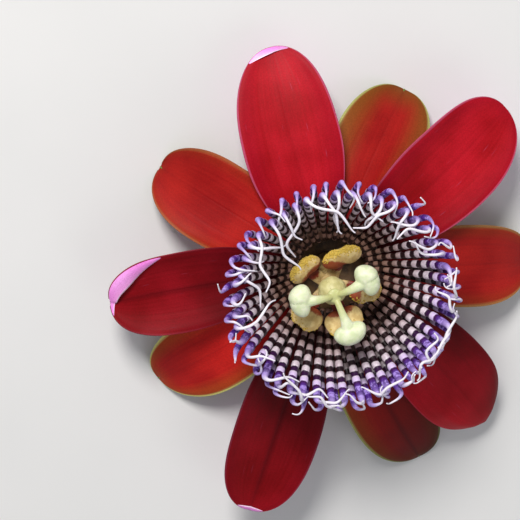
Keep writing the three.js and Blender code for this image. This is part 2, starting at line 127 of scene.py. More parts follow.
SEPALS = rows_with(
    "root tip reach width widest lift cup halo paleness",
    (75, 64, 47, 23, 0.62, 1, (0, -12, 22), 1.0, (0.94, 0.86, 0.68, 0)),
    (3, -4, 54, 21.5, 0.6, 1, (0, 8, 34), 0.25, (0.9, 0.86, 0.9, 0)),
    (-69, -64, 63, 21.5, 0.6, 2, (0, -10, 10), 0.6, (0.62, 0.6, 0.3, -0.4)),
    (-141, -141, 53, 22, 0.6, 1, (0, -8, 12), 0.5, (1.9, 1.5, 1.2, 0)),
    (147, 151, 47, 22, 0.6, 1, (0, 10, 40), 0.15, (0.95, 0.95, 0.68, 0)),
)
PETALS = rows_with(
    "root tip reach width widest lift cup halo paleness height ridge",
    (109, 105, 57, 24.4, 0.5, 1, (0, 14, 16), 0.55, (1.2, 1.06, 1.02, 0), 9),
    (41, 42, 59.5, 23.8, 0.58, 1, (0, 24, 18), 0.5, (0.46, 1.0, 0.95, 0.04), 12),
    (-38, -46, 63, 23, 0.62, 3, (0, 4, -26), 0.15, (0.6, 0.74, 0.78, -0.48), 6, -0.6),
    (-107.5, -106, 67.5, 22, 0.58, 1, (0, 16, 22), 0.32, (0.38, 0.43, 0.72, 0), 14),
    (182, 189.5, 55, 21.4, 0.6, 1, (0, 28, 46), 0.15, (0.5, 0.58, 0.62, -0.06), 12),
)
PETAL_FOLDS = rows_with(
    "petal side start end width rise paleness",
    (1, 1, 0.95, 0.975, 1.6, 0.9, (1.9, 0.9)),
    (4, -1, 0.985, 0.985, 1.3, 0.7, (1, 1)),
    (5, -1, 0.66, 0.985, 3.2, 1.6, (1.05, 1.25)),
)

# An anther's turn is from its arm's azimuth to the way that it faces. parting says how clearly a
# stigma's lobes are parted, and larger on which side the larger lobe is.

STAMENS = rows_with(
    "azimuth reach turn length width pollen",
    (74, 8.4, 36, 10, 6.2, 1),
    (-6, 8.4, -72, 8.2, 5.8, 0.3),
    (-68, 9.1, 0, 9.6, 7.4, 0.15),
    (-132, 9.1, 0, 9, 6.8, 0.2),
    (143, 8.4, -8, 8.8, 5.8, 1),
)
STYLES = rows_with(
    "azimuth reach parting larger",
    (185, 8.6, 1, -1),
    (29, 9, 1, 1),
    (-67, 10.1, 0, 1),
)
BRACT_AZIMUTHS = (90, 210, 330)


# Small helpers


def outward(azimuth):
    """Unit vectors away from the axis. Azimuths are degrees from +X towards +Y."""
    a = np.radians(azimuth)
    return np.stack([np.cos(a), np.sin(a), np.zeros_like(a)], axis=-1)


def sideways(azimuth):
    return outward(np.asarray(azimuth) + 90)


def chance(index, row, purpose):
    """A steady pseudo-random number from 0 to 1 for a filament and what it is drawn for."""
    value = math.sin(index * 12.9898 + (DRAWS[purpose] + row) * 78.233) * 43758.5453
    return value - math.floor(value)


def towards(azimuth, other):
    """1 where an azimuth is the other one, 0 on the flower's far side."""
    return 0.5 + 0.5 * math.cos(math.radians(azimuth - other))


def smooth_step(low, high, value):
    t = np.clip((np.asarray(value, float) - low) / (high - low), 0, 1)
    return t * t * (3 - 2 * t)


def through(ends, s):
    """The value at s on the parabola through the values at root, middle and tip."""
    start, middle, end = ends
    return start * (1 - s) * (1 - 2 * s) + middle * 4 * s * (1 - s) + end * s * (2 * s - 1)


def placed(points):
    """Millimetres about the flower's axis to metres in the row frame."""
    return (np.asarray(points, float) + AXIS / MM) * MM


def srgb(red, green, blue):
    """A colour given in 0-255 steps as the linear colour that the shaders take."""
    linear = []
    for part in (red, green, blue):
        c = part / 255
        linear.append(c / 12.92 if c <= 0.04045 else ((c + 0.055) / 1.055) ** 2.4)
    return (*linear, 1.0)


def choose(obj):
    bpy.ops.object.select_all(action="DESELECT")
    obj.select_set(True)
    bpy.context.view_layer.objects.active = obj


def apply_modifier(obj, kind, **settings):
    choose(obj)
    modifier = obj.modifiers.new(kind.lower(), kind)
    for name, value in settings.items():
        setattr(modifier, name, value)
    bpy.ops.object.modifier_apply(modifier=modifier.name)


def face_outward(obj, merge=0.0):
    """Turns every face outward, once the vertices closer than merge are made one."""
    choose(obj)
    bpy.ops.object.mode_set(mode="EDIT")
    bpy.ops.mesh.select_all(action="SELECT")
    if merge:
        bpy.ops.mesh.remove_doubles(threshold=merge)
    bpy.ops.mesh.normals_make_consistent(inside=False)
    bpy.ops.object.mode_set(mode="OBJECT")


def join(objects, name):
    bpy.ops.object.select_all(action="DESELECT")
    for obj in objects:
        obj.select_set(True)
    bpy.context.view_layer.objects.active = objects[0]
    bpy.ops.object.join()
    objects[0].name = name
    objects[0].data.name = name
    return objects[0]


def vertex_array(obj):
    flat = np.zeros(len(obj.data.vertices) * 3)
    obj.data.vertices.foreach_get("co", flat)
    return flat.reshape(-1, 3)


def about_axis(obj):
    """Where obj's vertices are, in millimetres about the axis."""
    return vertex_array(obj) / MM - AXIS / MM


def put_vertices(obj, points):
    """Moves obj's vertices to points, in millimetres about the axis."""
    obj.data.vertices.foreach_set("co", placed(points).ravel())
    obj.data.update()


def put_uv(obj, across, along):
    """Gives the corners of obj's faces their vertices' places across and along the piece."""
    corners = np.zeros(len(obj.data.loops), int)
    obj.data.loops.foreach_get("vertex_index", corners)
    pairs = np.stack([across[corners], along[corners]], axis=-1)
    obj.data.uv_layers["UVMap"].data.foreach_set("uv", pairs.ravel())


def set_attribute(obj, name, values):
    """Gives every vertex its value of the named attribute, or all of them the same one."""
    attribute = obj.data.attributes.new(name, "FLOAT", "POINT")
    attribute.data.foreach_set("value", np.full(len(obj.data.vertices), values, np.float32))


def mesh_from(name, vertices, faces):
    mesh = bpy.data.meshes.new(name)
    mesh.from_pydata([tuple(v) for v in vertices], [], faces)
    mesh.update()
    obj = bpy.data.objects.new(name, mesh)
    bpy.context.scene.collection.objects.link(obj)
    return obj


def new_grid(name, columns, rows):
    """A flat grid to be shaped, with its vertices' places across and along it from -1 to 1."""
    bpy.ops.mesh.primitive_grid_add(x_subdivisions=columns, y_subdivisions=rows, size=2)
    obj = bpy.context.object
    obj.name = name
    x, y, _ = vertex_array(obj).T
    return obj, x, y


def new_ball(name, segments, rings):
    """A ball to be shaped, with its vertices' places along its three axes from -1 to 1."""
    bpy.ops.mesh.primitive_uv_sphere_add(segments=segments, ring_count=rings, radius=1)
    obj = bpy.context.object
    obj.name = name
    return (obj, *vertex_array(obj).T)


def paint(obj, *materials):
    for material in materials:
        obj.data.materials.append(material)


def keep_piece(obj, slot, node, *materials):
    """Makes obj, smooth and in its materials, one of the pieces shown in the node's place."""
    paint(obj, *materials)
    choose(obj)
    bpy.ops.object.shade_smooth()
    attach(obj, "root")
    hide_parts(node)


# Camera

CAMERA_AT = np.array([-96.17, 201.17, 673.84])
CAMERA_RIGHT = (0.99330, 0.01682, 0.11434)
CAMERA_UP = (0.01682, 0.95776, -0.28709)
CAMERA_BACK = (-0.11434, 0.28709, 0.95106)
LENS = 193.85


def make_camera():
    data = bpy.data.cameras.new("camera")
    data.lens = LENS
    data.sensor_width = 36
    data.clip_end = 10
    camera = bpy.data.objects.new("camera", data)
    turn = Matrix((CAMERA_RIGHT, CAMERA_UP, CAMERA_BACK)).transposed().to_4x4()
    camera.matrix_world = Matrix.Translation(Vector(placed(CAMERA_AT))) @ turn
    bpy.context.scene.collection.objects.link(camera)
    bpy.context.scene.camera = camera
    bpy.context.scene.view_settings.view_transform = "Standard"


make_camera()


# Node helpers


class Wire:
    """A node's output. +, -, * and / with it add a maths node, so sums on wires read as plain sums."""

    def __init__(self, tree, socket):
        self.tree = tree
        self.socket = socket

    def __add__(self, other):
        return maths("ADD", self, other)

    def __sub__(self, other):
        return maths("SUBTRACT", self, other)

    def __rsub__(self, other):
        return maths("SUBTRACT", other, self)

    def __mul__(self, other):
        return maths("MULTIPLY", self, other)

    def __truediv__(self, other):
        return maths("DIVIDE", self, other)


def connect(value, socket):
    """Links a wire to the socket, or sets it there where it is a constant."""
    if isinstance(value, Wire):
        value.tree.links.new(value.socket, socket)
    else:
        socket.default_value = value


def add(tree, kind, inputs=None, output=0, **settings):
    """Adds a node with its inputs and settings, and gives the wire from one of its outputs."""
    made = tree.nodes.new(kind)
    for name, value in settings.items():
        setattr(made, name, value)
    for socket, value in (inputs or {}).items():
        connect(value, made.inputs[socket])
    return Wire(tree, made.outputs[output])


def all_outputs(wire):
    """Every output of the wire's node, by name."""
    return {socket.name: Wire(wire.tree, socket) for socket in wire.socket.node.outputs}


def tree_of(*values):
    return next(value.tree for value in values if isinstance(value, Wire))


def maths(operation, *values):
    inputs = dict(enumerate(values))
    return add(tree_of(*values), "ShaderNodeMath", inputs, operation=operation)


def ease(value, low, high, to_low=0.0, to_high=1.0):
    """A smooth change from to_low to to_high while value goes from low to high."""
    inputs = {"Value": value, "From Min": low, "From Max": high, "To Min": to_low, "To Max": to_high}
    return add(value.tree, "ShaderNodeMapRange", inputs, interpolation_type="SMOOTHSTEP")


def mix(share, first, second, blend="MIX"):
    inputs = {0: share, 6: first, 7: second}
    tree = tree_of(share, first, second)
    return add(tree, "ShaderNodeMix", inputs, 2, data_type="RGBA", blend_type=blend)


def noise(vector, scale, detail=2.0, roughness=0.5):
    inputs = {"Vector": vector, "Scale": scale, "Detail": detail, "Roughness": roughness}
    return add(vector.tree, "ShaderNodeTexNoise", inputs)


def vector_of(x, y, z=0.0):
    return add(x.tree, "ShaderNodeCombineXYZ", {"X": x, "Y": y, "Z": z})


def object_place(tree):
    return add(tree, "ShaderNodeTexCoord", output="Object")


def attribute(tree, name):
    return add(tree, "ShaderNodeAttribute", output="Fac", attribute_name=name)


def new_group(name, inputs, outputs):
    """An empty node group. An input with a value is a number and one without is a colour."""
    tree = bpy.data.node_groups.new(name, "ShaderNodeTree")
    for label, value in inputs.items():
        kind = "NodeSocketColor" if value is None else "NodeSocketFloat"
        socket = tree.interface.new_socket(label, in_out="INPUT", socket_type=kind)
        if value is not None:
            socket.default_value = value
    for label in outputs:
        kind = "NodeSocketColor" if label == "Color" else "NodeSocketFloat"
        tree.interface.new_socket(label, in_out="OUTPUT", socket_type=kind)
    return tree, all_outputs(add(tree, "NodeGroupInput")), tree.nodes.new("NodeGroupOutput").inputs


def new_material(name, **constants):
    """A material with its shader's constant sockets set."""
    material = bpy.data.materials.new(name)
    material.use_nodes = True
    shader = material.node_tree.nodes["Principled BSDF"]
    for socket, value in constants.items():
        shader.inputs[socket.replace("_", " ").title().replace("Ior", "IOR")].default_value = value
    return material, material.node_tree, shader


def wire_surface(shader, colour, height, depth):
    connect(colour, shader.inputs["Base Color"])
    bump = add(height.tree, "ShaderNodeBump", {"Strength": 1.0, "Distance": depth, "Height": height})
    connect(bump, shader.inputs["Normal"])


# Petals and sepals


def blade_group():
    """Faint lengthwise veins and uneven tone, with a thin margin, a wide halo inside it and a root; painted
    highlights as pale streaks, and painted shade down the middle groove and towards the root.
    """
    tree, given, made = new_group("blade_tone", {
        "Across": 0.5, "Along": 0.5, "Deep": None, "Bright": None, "Margin": None, "Halo": None,
        "Root": None, "Vein": 0.3, "Margin Width": 0.03, "Halo Share": 0.5, "Root End": 0.4,
        "Painted Highlight Share": 0.0, "Paleness": 1.0}, ("Color", "Height", "Roughness"))
    across, along, paleness = given["Across"], given["Along"], given["Paleness"]
    from_middle = maths("ABSOLUTE", across - 0.5)
    before_tip = ease(along, 0.72, 0.96, 1.0, 0.0)
    streaks = noise(vector_of(across * 26, along), 1.0)
    fine = noise(vector_of(across * 90, along), 1.0)
    grain = noise(object_place(tree), 3200, 2.0, 0.6)
    clouds = ease(noise(object_place(tree), 70), 0.25, 0.75)
    colour = mix(clouds * 0.8 + ease(streaks, 0.3, 0.7) * 0.2, given["Deep"], given["Bright"])
    veins = ease(fine, 0.35, 0.6, 1.0, 0.0) * given["Vein"] * before_tip
    colour = mix(veins, colour, given["Deep"])

    # The halo and the margin follow the edge, where to_edge nears 0.5.
    to_edge = maths("SMOOTH_MAX", from_middle, (along - 0.78) * 1.9, 0.12) + (streaks - 0.5) * 0.06
    halo_start = 0.34 - given["Halo Share"] * 0.24
    colour = mix(ease(to_edge, halo_start, 0.47) * given["Halo Share"], colour, given["Halo"])
    margin = (to_edge - (0.49 - given["Margin Width"])) / given["Margin Width"]
    margin_share = ease(given["Halo Share"], 0.1, 0.6, 0.15, 1.0)
    colour = mix(ease(margin, 0.0, 1.0) * margin_share, colour, given["Margin"])

    # Painted highlights: pale lengthwise streaks in the margin's colour, glints on the upper face.
    painted_highlights = ease(noise(vector_of(across * 46, along * 8), 1.0, 1.0), 0.7, 0.84)
    colour = mix(painted_highlights * given["Painted Highlight Share"] * before_tip, colour, given["Margin"])
    # Painted shade down the middle groove, a darker line that is stronger on darker pieces.
    groove = ease(from_middle, 0.0, 0.07, 1.0, 0.0) * ease(paleness, 0.5, 0.8, 0.5, 0.08)
    colour = mix(groove, colour, given["Root"])
    # Darker towards the root: partly the blade's own colour and partly painted shade under the corona; the
    # dark reaches further on darker pieces.
    root_end = given["Root End"] * ease(paleness, 0.5, 1.0, 1.8, 0.8)
    colour = mix(ease(along, 0.0, root_end, 1.0, 0.0), colour, given["Root"])
    # The piece's tone, with its painted shade and painted light, scales the whole colour here, with a fine
    # speckle.
    speckle = ease(grain, 0.3, 0.7, 0.88, 1.1) * paleness
    colour = mix(1.0, colour, vector_of(speckle, speckle, speckle), "MULTIPLY")

    midrib = ease(from_middle, 0.0, 0.02, -0.3, 0.0)
    ribs = (streaks * 0.4 + fine * 0.12 + midrib) * before_tip
    connect(colour, made["Color"])
    connect(ribs + grain * 0.1, made["Height"])
    connect(ease(streaks, 0.3, 0.7, 0.46, 0.56), made["Roughness"])
    return tree


BLADE_TONE = blade_group()


def blade_material(name, deep, bright, margin, halo, root, vein=0.08, margin_width=0.03,
                   halo_share=None, painted_highlight_share=0.0, **constants):
    """Without a halo share the piece's own attribute says how strong its halo is."""
    material, tree, shader = new_material(name, **constants)
    uv = all_outputs(add(tree, "ShaderNodeSeparateXYZ", {0: add(tree, "ShaderNodeUVMap", uv_map="UVMap")}))
    tone = all_outputs(add(tree, "ShaderNodeGroup", node_tree=BLADE_TONE, inputs={
        "Across": uv["X"], "Along": uv["Y"], "Deep": deep, "Bright": bright, "Margin": margin,
        "Halo": halo, "Root": root, "Vein": vein, "Margin Width": margin_width,
        "Halo Share": attribute(tree, "halo") if halo_share is None else halo_share,
        "Painted Highlight Share": painted_highlight_share, "Paleness": attribute(tree, "paleness")}))
    wire_surface(shader, tone["Color"], tone["Height"], 0.0001)
    connect(tone["Roughness"], shader.inputs["Roughness"])
    return material


PETAL_UPPER = blade_material(
    "petal_crimson", srgb(146, 6, 14), srgb(194, 24, 40), srgb(182, 74, 104), srgb(150, 6, 30),
    srgb(84, 4, 14), margin_width=0.012, painted_highlight_share=0.45, specular_ior_level=0.1)
PETAL_UNDER = blade_material(
    "petal_rosy_back", srgb(222, 104, 200), srgb(244, 172, 238), srgb(252, 222, 246),
    srgb(240, 160, 222), srgb(214, 130, 140), margin_width=0.06, halo_share=0.7, specular_ior_level=0.3)
SEPAL_UPPER = blade_material(
    "sepal_crimson", srgb(146, 12, 14), srgb(188, 34, 28), srgb(186, 190, 112), srgb(144, 80, 26),
    srgb(98, 8, 14), margin_width=0.035, specular_ior_level=0.12)
SEPAL_UNDER = blade_material(
    "sepal_green_back", srgb(126, 84, 46), srgb(128, 146, 70), srgb(204, 206, 140), srgb(150, 160, 84),
    srgb(104, 132, 60), margin_width=0.1, halo_share=0.8, specular_ior_level=0.4)


def half_width(blade, s):
    """Half the blade's width at s along it."""
    root_share, widest = blade["root_share"], blade["widest"]
    grow = root_share + (1 - root_share) * np.sin(np.pi / 2 * np.minimum(1, s / widest)) ** 1.1
    rounding = np.clip((s - widest) / (1 - widest), 0, 1)
    return blade["width"] / 2 * np.maximum(0.07, grow * (1 - rounding ** 2.6) ** 0.5)


def blade_points(blade, s, w, depth):
    """Points at depth below the blade's upper face, s along it and w across from -1 to 1."""
    azimuth = blade["root"] + (blade["tip"] - blade["root"]) * s
    forward = outward(azimuth)
    side = sideways(azimuth)
    run = blade["reach"] - BLADE_ROOT_RADIUS
    along = BLADE_ROOT_RADIUS + (run - TIP_TRIM) * s
    seat, lift = blade["seat"], blade["lift"]
    fall = blade["height"] - seat
    height = seat + fall * s ** 2 + lift * 4 * s * s * (1 - s)
    drop = 2 * fall * s + lift * 4 * (2 * s - 3 * s * s)
    incline = np.arctan2(drop, run)
    over = UP * np.cos(incline)[:, None] - forward * np.sin(incline)[:, None]
    half = half_width(blade, s)
    bend = np.radians(through(blade["cup"], s))
    bend = np.where(np.abs(bend) < 1e-6, 1e-6, bend)
    out = forward * along[:, None] + UP * height[:, None]
    out += side * (half * np.sin(w * bend) / bend)[:, None]
    out += over * (half * (1 - np.cos(w * bend)) / bend)[:, None]
    normal = over * np.cos(w * bend)[:, None] - side * np.sin(w * bend)[:, None]
    return out - normal * np.asarray(depth)[:, None]


def blade_relief(blade, s, w):
    """How far the face stands up from the plain blade: shallow ribs, a midrib and a soft margin."""
    turn = blade["reach"] + blade["root"]
    ribs = 0.03 * np.cos(2 * np.pi * 3.2 * w + 0.6 * np.sin(3 * s + turn)) * smooth_step(0.1, 0.4, s)
    midrib = -0.1 * np.exp(-((w / 0.06) ** 2)) * (1 - 0.6 * s)
    ripple = 0.3 * np.abs(w) ** 5 * np.sin(9 * s + turn + 1.5 * np.sign(w)) * smooth_step(0.2, 0.5, s)
    relief = (ribs + midrib + ripple) * (1 - smooth_step(0.8, 0.97, s))
    if "ridge" in blade:
        swell = smooth_step(0.3, 0.6, s) * (1 - smooth_step(0.88, 1.0, s))
        relief = relief + 0.7 * np.exp(-(((w - blade["ridge"]) / 0.16) ** 2)) * swell
    return relief


def make_blade(name, blade, upper, under):
    obj, x, y = new_grid(name, *BLADE_GRID)
    s = 1 - (1 - (y + 1) / 2) ** 1.7
    w = -np.sin(x * np.pi / 2)
    put_vertices(obj, blade_points(blade, s, w, BLADE_SOLID / 2 - blade_relief(blade, s, w)))
    put_uv(obj, (w + 1) / 2, s)
    from_side = (1 - np.abs(w)) * half_width(blade, s)
    from_edge = np.minimum(from_side, (1 - s) * (blade["reach"] - BLADE_ROOT_RADIUS))
    thick = obj.vertex_groups.new(name="thick")
    for index, share in enumerate(0.35 + 0.65 * smooth_step(0, BLADE_BEVEL, from_edge)):
        thick.add([index], float(share), "REPLACE")
    set_attribute(obj, "halo", blade["halo"])
    # Tone along and across the blade: partly its own depth of colour, partly painted shade where it lies in
    # shadow and painted light where it is lit.
    *along_blade, slant = blade["paleness"]
    set_attribute(obj, "paleness", through(along_blade, s) * (1 + slant * w))
    paint(obj, upper, under)
    apply_modifier(obj, "SOLIDIFY", thickness=BLADE_THICKNESS * MM, offset=0, vertex_group="thick",
                   thickness_vertex_group=0.0, material_offset=1, material_offset_rim=0)
    return obj


def sepal_tip_height(sepal):
    """A sepal droops until its tip stands on the table, its lowest edge pressed flat there."""
    s, w = [a.ravel() for a in np.meshgrid(np.linspace(0.8, 1, 21), np.linspace(-1, 1, 13))]
    depth = np.full(s.shape, BLADE_SOLID)
    tip = 0.0
    for _ in range(2):
        lowest = blade_points({**sepal, "height": tip}, s, w, depth)[:, 2].min()
        tip -= lowest + TIP_REST_DEPTH
    return tip


def make_awn(sepal):
    """The short point on a sepal's back, following the underside to just under the tip."""
    s = np.array([0.82, 0.86, 0.9, 0.93, 0.96])
    centres = list(blade_points(sepal, s, s * 0, np.full(s.shape, AWN["depth"])))
    tip = outward(sepal["tip"])
    for short_by, height in AWN["end"]:
        centres.append(tip * (sepal["reach"] - short_by) + UP * height)
    awn = tube("awn", np.array(centres), AWN["radii"], 8, sideways(sepal["tip"]))
    paint(awn, SEPAL_UNDER)
    set_attribute(awn, "paleness", 1.0)
    return awn


# Tubes


def tube_frames(centres, side):
    across = np.array(side, float)
    pairs = []
    last = len(centres) - 1
    for i in range(last + 1):
        ahead = centres[min(i + 1, last)] - centres[max(i - 1, 0)]
        ahead = ahead / np.linalg.norm(ahead)
        across = across - ahead * across.dot(ahead)
        across = across / np.linalg.norm(across)
        pairs.append((across, np.cross(ahead, across)))
    return pairs


def tube_parts(centres, radii, sides, side, flatten=1.0, start=0):
    """Vertices and faces of a closed round tube along centres."""
    turn = np.arange(sides) * 2 * np.pi / sides
    rings = []
    for centre, radius, (a, o) in zip(centres, radii, tube_frames(centres, side)):
        rings.append(centre + radius * (np.cos(turn)[:, None] * a + flatten * np.sin(turn)[:, None] * o))
    vertices = np.concatenate(rings)
    faces = []
    for i in range(len(centres) - 1):
        low = start + i * sides
        for j in range(sides):
            k = (j + 1) % sides
            faces.append((low + j, low + k, low + sides + k, low + sides + j))
    faces.append(tuple(start + j for j in reversed(range(sides))))
    last = start + (len(centres) - 1) * sides
    faces.append(tuple(last + j for j in range(sides)))
    return vertices, faces


def tube(name, centres, radii, sides, side, flatten=1.0):
    vertices, faces = tube_parts(centres, radii, sides, side, flatten)
    return mesh_from(name, placed(vertices), faces)


def make_sepals():
    for number, sepal in enumerate(SEPALS, 1):
        name = f"sepal_{number}"
        sepal = {"seat": SEPAL_SEAT, "root_share": SEPAL_ROOT_SHARE, **sepal}
        sepal["height"] = sepal_tip_height(sepal)
        obj = join([make_blade(name, sepal, SEPAL_UPPER, SEPAL_UNDER), make_awn(sepal)], name)
        press_flat(obj)
        keep_piece(obj, "sepal_crimson", name)


def press_flat(obj):
    """Whatever would reach below the table is pressed flat against it."""
    for vertex in obj.data.vertices:
        vertex.co.z = max(0.0, vertex.co.z)


def edge_path(side, start, end):
    """(s, w) along a blade's edge from s = start on one side, round the tip, to s = end."""
    u = np.linspace(1, 0, 40)
    s = np.concatenate([1 - (1 - start) * u ** 2, np.ones(9), 1 - (1 - end) * u[::-1] ** 2])
    w = np.concatenate([np.full(40, side), np.linspace(side, -side, 11)[1:-1], np.full(40, -side)])
    return s, w


def along_edge(values, span):
    """The values at FOLD_STEPS + 1 even steps along an edge, from those at the distances in span."""
    share = np.linspace(0, 1, FOLD_STEPS + 1)
    return np.stack([np.interp(share, span / span[-1], values[:, k]) for k in range(3)], axis=-1)


def make_fold(petal, fold):
    """The edge of a petal's tip rolled up and inwards, so that its rosy back shows from above."""
    s, w = edge_path(fold["side"], fold["start"], fold["end"])
    edge = blade_points(petal, s, w, np.full(s.shape, 0.5))
    normal = edge - blade_points(petal, s, w, np.full(s.shape, 1.5))
    normal /= np.linalg.norm(normal, axis=1)[:, None]
    span = np.concatenate([[0], np.cumsum(np.linalg.norm(np.diff(edge, axis=0), axis=1))])
    edge, normal = along_edge(edge, span), along_edge(normal, span)
    inward = blade_points(petal, np.array([0.8]), np.array([0.0]), np.array([0.5]))[0] - edge
    inward -= normal * np.sum(inward * normal, axis=1)[:, None]
    inward /= np.linalg.norm(inward, axis=1)[:, None]
    obj, x, y = new_grid("fold", 12, FOLD_STEPS)
    row = np.rint((y + 1) / 2 * FOLD_STEPS).astype(int)
    share = np.linspace(0, 1, FOLD_STEPS + 1)[row]
    swell = np.maximum(0.02, np.sin(np.pi * share) ** 0.8)
    turn = (x + 1) / 4 * np.pi
    points = edge[row] + normal[row] * (fold["rise"] * swell * np.sin(turn))[:, None]
    points += inward[row] * (0.25 + fold["width"] * swell * (1 - np.cos(turn)))[:, None]
    put_vertices(obj, points)
    put_uv(obj, 0.5 + 0.49 * (x + 1) / 2, 0.35 + 0.3 * share)
    set_attribute(obj, "paleness", np.interp(share, (0.2, 0.8), fold["paleness"]))
    paint(obj, PETAL_UNDER, PETAL_UPPER)
    if sum(face.normal.z for face in obj.data.polygons) < 0:
        obj.data.flip_normals()
    apply_modifier(obj, "SOLIDIFY", thickness=FOLD_THICKNESS * MM, offset=0, material_offset=1)
    return obj


def make_petals():
    for number, petal in enumerate(PETALS, 1):
        name = f"petal_{number}"
        petal = {"seat": PETAL_SEAT, "root_share": PETAL_ROOT_SHARE, **petal}
        obj = make_blade(name, petal, PETAL_UPPER, PETAL_UNDER)
        folds = [make_fold(petal, fold) for fold in PETAL_FOLDS if fold["petal"] == number]
        join([obj] + folds, name)
        keep_piece(obj, "petal_crimson", name)


make_sepals()
make_petals()


# Corona


def band_group():
    """Pale bands on near-black, then mottled violet and a white end, by the distance travelled. Towards the
    throat the bands are painted duller and darker as painted shade, and a row's banded part can be darkened
    all over as painted shade.
    """
    tree, given, made = new_group("filament_bands", {
        "Travelled": 0.0, "Seed": 0.5, "Last Band": 19.4, "Brightness": 1.0}, ("Color", "Height"))
    place = object_place(tree)
    mottle = noise(place, 1300, 3.0, 0.6)
    travelled = given["Travelled"] + (noise(place, 700) - 0.5) * 0.7
    past = travelled - (given["Last Band"] + (given["Seed"] - 0.5) * BAND_SHIFT)
    turn = maths("FRACT", past / BAND_PERIOD)
    pale = ease(turn, BAND_DARK_SHARE - 0.05, BAND_DARK_SHARE + 0.05) * ease(turn, 0.94, 1.0, 1.0, 0.0)
    seeds = noise(vector_of(given["Seed"], given["Travelled"]), 3.0, 1.0)
    # Towards the throat the bands are painted duller and darker, painted shade deep in the bowl.
    near = ease(travelled, 3.0, 21.0)
    white = mix(ease(mottle, 0.3, 0.7), srgb(210, 192, 206), srgb(240, 230, 240))
    white = mix(near, mix(seeds, srgb(124, 88, 72), srgb(166, 130, 114)), white)
    white = mix(ease(past, -2.2, -0.6), white, srgb(222, 200, 240))
    dark = mix(near, srgb(44, 24, 16), srgb(30, 8, 26))
    dark = mix(ease(past, -5.0, 0.0), dark, srgb(62, 12, 78))
    violet = mix(pale, srgb(92, 50, 150), srgb(176, 146, 232))
    violet = mix(ease(mottle, 0.42, 0.54, 0.85, 0.0), violet, srgb(70, 30, 118))
    colour = mix(ease(past, 0.2, 1.4), mix(pale, dark, white), violet)
    colour = mix(ease(travelled, WHITE_FROM - 4, WHITE_FROM, 0.0, 0.75), colour, srgb(196, 172, 236))
    colour = mix(ease(travelled, WHITE_FROM - 1, WHITE_FROM + 2), colour, srgb(244, 238, 248))
    # Painted shade: a shaded row's banded part is darkened by its factor, the white end is not.
    painted_shade_tint = mix(ease(past, -2.0, 2.0), given["Brightness"], (1.0, 1.0, 1.0, 1.0))
    connect(mix(1.0, colour, painted_shade_tint, "MULTIPLY"), made["Color"])
    connect(mottle + pale * 0.5, made["Height"])
    return tree


BANDS = band_group()


def filament_material(row):
    name = f"filament_{row['side']}_bands"
    material, tree, shader = new_material(name, roughness=0.42, specular_ior_level=0.4)
    bands = all_outputs(add(tree, "ShaderNodeGroup", node_tree=BANDS, inputs={
        "Travelled": attribute(tree, "travelled"), "Seed": attribute(tree, "seed"),
        "Last Band": row["last_band"], "Brightness": row["brightness"]}))
    wire_surface(shader, bands["Color"], bands["Height"], 0.00006)
    return material


def ring_material():
    material, tree, shader = new_material("corona_foot", roughness=0.6)
    blotches = noise(object_place(tree), 500, 3.0, 0.6)
    colour = mix(ease(blotches, 0.35, 0.65), srgb(44, 26, 16), srgb(104, 72, 54))
    wire_surface(shader, colour, blotches, 0.0002)
    return material


def hook_turn(inward, index, row):
    scatter = chance(index, row, "turn") - 0.5
    if chance(index, row, "stray") > 0.94:
        return 10 + 50 * scatter
    return 96 + 34 * inward + 70 * scatter


def hook_lean(inward, index, row):
    side = 2 * chance(index, row, "lean") - 1
    meeting = 14 * inward * (1 - index % 3)
    return meeting + (30 + 60 * (1 - inward)) * math.copysign(abs(side) ** 0.5, side)


